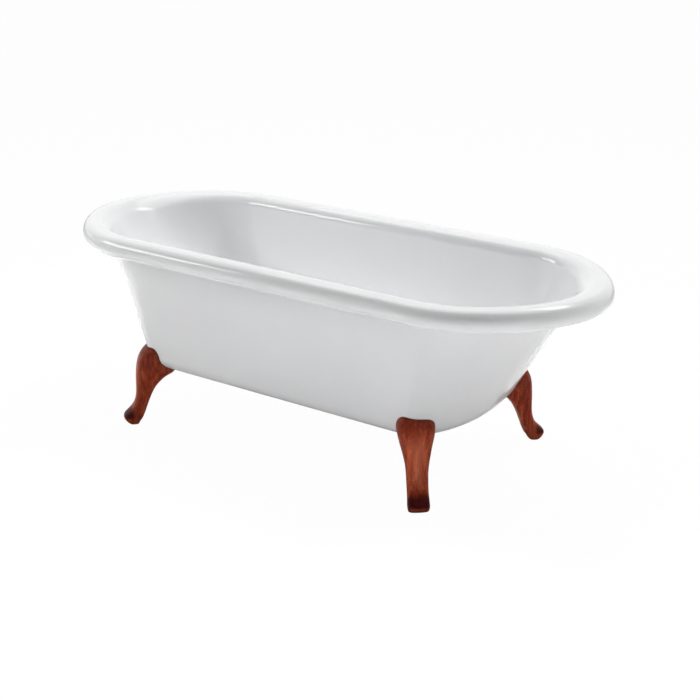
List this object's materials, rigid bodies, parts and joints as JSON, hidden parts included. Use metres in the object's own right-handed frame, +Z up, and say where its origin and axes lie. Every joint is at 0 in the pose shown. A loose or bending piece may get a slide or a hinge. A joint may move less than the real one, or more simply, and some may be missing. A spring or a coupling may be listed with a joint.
{
  "type": "bathtub",
  "caption": "Free-standing double-ended roll-top bathtub on cabriole wooden legs, with levelling feet in the soles and a push-to-open plug in its floor waste",
  "frame": {"origin": "the floor under the middle of the tub", "axes": "+X along the tub to its right end, +Y across it to the rear, +Z up"},
  "size_m": [1.7, 0.7, 0.5682],
  "materials": {
    "gelcoat": "gloss white gelcoat, smooth, inside and out",
    "wood": "reddish-brown stained hardwood, satin lacquer, grain along the leg",
    "rubber": "plain black rubber",
    "steel": "zinc plated steel",
    "brass": "turned brass",
    "nylon": "dark moulded nylon",
    "chrome": "polished chrome"
  },
  "bodies": {
    "tub": {"tub_shell": "gelcoat", "leg_front_left": "wood", "leg_front_right": "wood", "leg_rear_left": "wood", "leg_rear_right": "wood", "leg_gasket_front_left": "rubber", "leg_gasket_front_right": "rubber", "leg_gasket_rear_left": "rubber", "leg_gasket_rear_right": "rubber", "outer_bolts": "steel", "outer_bolt_washers": "steel", "outer_bolt_inserts": "brass", "inner_bolts": "steel", "inner_bolt_washers": "steel", "inner_bolt_inserts": "brass", "sole_sleeves": "steel", "waste_body": "chrome", "waste_top_seal": "rubber", "waste_bottom_seal": "rubber", "waste_slip_washer": "nylon", "waste_locknut": "brass", "plug_core": "brass", "plug_spring": "steel"},
    "plug": {"plug_cap": "chrome", "plug_seal": "rubber", "plug_guide": "brass"},
    "leveller_pad_front_left": {"leveller_pad_front_left": "nylon"},
    "leveller_stem_front_left": {"leveller_stem_front_left": "steel"},
    "leveller_pad_front_right": {"leveller_pad_front_right": "nylon"},
    "leveller_stem_front_right": {"leveller_stem_front_right": "steel"},
    "leveller_pad_rear_left": {"leveller_pad_rear_left": "nylon"},
    "leveller_stem_rear_left": {"leveller_stem_rear_left": "steel"},
    "leveller_pad_rear_right": {"leveller_pad_rear_right": "nylon"},
    "leveller_stem_rear_right": {"leveller_stem_rear_right": "steel"}
  },
  "joints": [
    {"name": "plug_press", "type": "slide", "parent": "tub", "child": "plug", "axis": [0, 0, 1], "range_m": [0, 0.01], "deforming": ["plug_spring"]},
    {"name": "leveller_drop_front_left", "type": "slide", "parent": "tub", "child": "leveller_pad_front_left", "axis": [0, 0, -1], "range_m": [0, 0.01]},
    {"name": "leveller_turn_front_left", "type": "hinge", "parent": "leveller_pad_front_left", "child": "leveller_stem_front_left", "pos_m": [-0.50541, -0.29778, 0.02], "axis": [0, 0, -1], "range_deg": [0, 2880]},
    {"name": "leveller_drop_front_right", "type": "slide", "parent": "tub", "child": "leveller_pad_front_right", "axis": [0, 0, -1], "range_m": [0, 0.01]},
    {"name": "leveller_turn_front_right", "type": "hinge", "parent": "leveller_pad_front_right", "child": "leveller_stem_front_right", "pos_m": [0.50541, -0.29778, 0.02], "axis": [0, 0, -1], "range_deg": [0, 2880]},
    {"name": "leveller_drop_rear_left", "type": "slide", "parent": "tub", "child": "leveller_pad_rear_left", "axis": [0, 0, -1], "range_m": [0, 0.01]},
    {"name": "leveller_turn_rear_left", "type": "hinge", "parent": "leveller_pad_rear_left", "child": "leveller_stem_rear_left", "pos_m": [-0.50541, 0.29778, 0.02], "axis": [0, 0, -1], "range_deg": [0, 2880]},
    {"name": "leveller_drop_rear_right", "type": "slide", "parent": "tub", "child": "leveller_pad_rear_right", "axis": [0, 0, -1], "range_m": [0, 0.01]},
    {"name": "leveller_turn_rear_right", "type": "hinge", "parent": "leveller_pad_rear_right", "child": "leveller_stem_rear_right", "pos_m": [0.50541, 0.29778, 0.02], "axis": [0, 0, -1], "range_deg": [0, 2880]}
  ],
  "couplings": [
    {"joint": "leveller_turn_front_left", "follows": "leveller_drop_front_left", "rad_per_m": 5026.5},
    {"joint": "leveller_turn_front_right", "follows": "leveller_drop_front_right", "rad_per_m": 5026.5},
    {"joint": "leveller_turn_rear_left", "follows": "leveller_drop_rear_left", "rad_per_m": 5026.5},
    {"joint": "leveller_turn_rear_right", "follows": "leveller_drop_rear_right", "rad_per_m": 5026.5}
  ]
}
